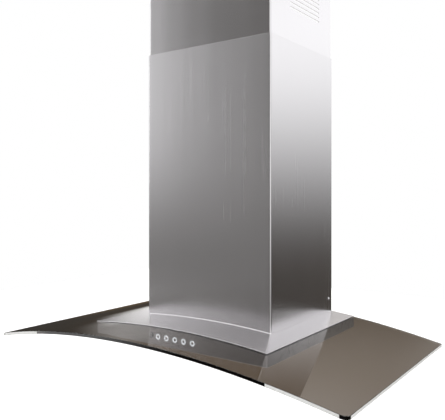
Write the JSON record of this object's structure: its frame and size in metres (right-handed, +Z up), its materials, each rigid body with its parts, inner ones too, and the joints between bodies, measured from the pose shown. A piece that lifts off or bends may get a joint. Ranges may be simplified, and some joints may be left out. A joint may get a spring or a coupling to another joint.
{
  "type": "range hood",
  "caption": "Wall-mounted chimney range hood: smoked arched glass canopy, slim steel tray with push buttons, telescopic duct covers, blower and grease filters.",
  "frame": {"origin": "centre of the wall bracket's four bolt holes, on the wall plane, 170 mm above the crown of the glass", "axes": "+X along the wall to the right as seen from the room, -Y out into the room, +Z up"},
  "size_m": [0.9, 0.5375, 0.9417],
  "materials": {
    "brushed_steel": "fine vertical brushing, satin",
    "galvanised": "zinc coated, dull spangle",
    "chrome": "polished",
    "smoked_glass": "smoked, polished edges",
    "frosted_glass": "frosted",
    "gasket": "matt black foam rubber",
    "nylon": "white moulded plastic",
    "filter_aluminium": "expanded aluminium mesh in a rolled frame",
    "grey_plastic": "moulded grey plastic",
    "black_plastic": "moulded black plastic",
    "black_gloss": "gloss black window",
    "motor_enamel": "grey enamel",
    "circuit_board": "green solder mask",
    "capacitor_case": "off-white moulded case",
    "cable_sheath": "grey PVC sheath"
  },
  "bodies": {
    "hood": {"lower_duct_cover": "brushed_steel", "lower_cover_screws": "chrome", "cover_tabs": "galvanised", "top_plate": "brushed_steel", "top_gasket": "gasket", "glass_canopy": "smoked_glass", "lower_gasket": "gasket", "glass_bushings": "nylon", "plate_studs": "galvanised", "clamp_nuts": "galvanised", "body_tray": "brushed_steel", "bottom_panel": "brushed_steel", "filter_catches": "chrome", "left_lamp_housing": "brushed_steel", "right_lamp_housing": "brushed_steel", "left_lamp_board": "nylon", "right_lamp_board": "nylon", "left_lamp_lens": "frosted_glass", "right_lamp_lens": "frosted_glass", "wall_bracket": "galvanised", "blower_box": "galvanised", "blower_box_cover": "galvanised", "box_screws": "galvanised", "scroll_left": "grey_plastic", "scroll_right": "grey_plastic", "motor_body": "motor_enamel", "motor_bearings": "chrome", "motor_spider": "galvanised", "motor_mounts": "gasket", "outlet_collar": "black_plastic", "electronics_box": "grey_plastic", "electronics_lid": "grey_plastic", "control_board": "circuit_board", "run_capacitor": "capacitor_case", "terminal_block": "nylon", "cable_gland": "black_plastic", "button_carrier": "black_plastic", "switch_board": "circuit_board", "indicator_window": "black_gloss", "control_lead": "cable_sheath", "motor_lead": "cable_sheath", "lamp_leads": "cable_sheath"},
    "upper_cover": {"upper_duct_cover": "brushed_steel", "ceiling_bracket": "galvanised", "upper_cover_screws": "chrome"},
    "left_filter": {"left_filter_frame": "filter_aluminium", "left_filter_mesh": "filter_aluminium", "left_filter_pull": "chrome"},
    "right_filter": {"right_filter_frame": "filter_aluminium", "right_filter_mesh": "filter_aluminium", "right_filter_pull": "chrome"},
    "fan_wheel": {"impeller": "black_plastic", "motor_shaft": "chrome"},
    "front_damper": {"front_flap": "grey_plastic"},
    "rear_damper": {"rear_flap": "grey_plastic"},
    "push_button_1": {"button_1": "chrome"},
    "push_button_2": {"button_2": "chrome"},
    "push_button_3": {"button_3": "chrome"},
    "push_button_4": {"button_4": "chrome"},
    "push_button_5": {"button_5": "chrome"}
  },
  "joints": [
    {"name": "upper_cover_slide", "type": "slide", "parent": "hood", "child": "upper_cover", "axis": [0, 0, 1], "range_m": [-0.23, 0.32]},
    {"name": "left_filter_hinge", "type": "hinge", "parent": "hood", "child": "left_filter", "pos_m": [-0.1, -0.014, -0.206], "axis": [1, 0, 0], "range_deg": [0, 75]},
    {"name": "right_filter_hinge", "type": "hinge", "parent": "hood", "child": "right_filter", "pos_m": [0.1, -0.014, -0.206], "axis": [1, 0, 0], "range_deg": [0, 75]},
    {"name": "fan_spin", "type": "hinge", "parent": "hood", "child": "fan_wheel", "pos_m": [0, -0.122, -0.04], "axis": [1, 0, 0], "continuous": true},
    {"name": "front_flap_hinge", "type": "hinge", "parent": "hood", "child": "front_damper", "pos_m": [0, -0.1935, 0.172], "axis": [-1, 0, 0], "range_deg": [0, 80]},
    {"name": "rear_flap_hinge", "type": "hinge", "parent": "hood", "child": "rear_damper", "pos_m": [0, -0.1875, 0.172], "axis": [1, 0, 0], "range_deg": [0, 80]},
    {"name": "button_1_press", "type": "slide", "parent": "hood", "child": "push_button_1", "axis": [0, 1, 0], "range_m": [0, 0.0018], "stiffness_N_per_m": 600, "springref_m": -0.001},
    {"name": "button_2_press", "type": "slide", "parent": "hood", "child": "push_button_2", "axis": [0, 1, 0], "range_m": [0, 0.0018], "stiffness_N_per_m": 600, "springref_m": -0.001},
    {"name": "button_3_press", "type": "slide", "parent": "hood", "child": "push_button_3", "axis": [0, 1, 0], "range_m": [0, 0.0018], "stiffness_N_per_m": 600, "springref_m": -0.001},
    {"name": "button_4_press", "type": "slide", "parent": "hood", "child": "push_button_4", "axis": [0, 1, 0], "range_m": [0, 0.0018], "stiffness_N_per_m": 600, "springref_m": -0.001},
    {"name": "button_5_press", "type": "slide", "parent": "hood", "child": "push_button_5", "axis": [0, 1, 0], "range_m": [0, 0.0018], "stiffness_N_per_m": 600, "springref_m": -0.001}
  ]
}
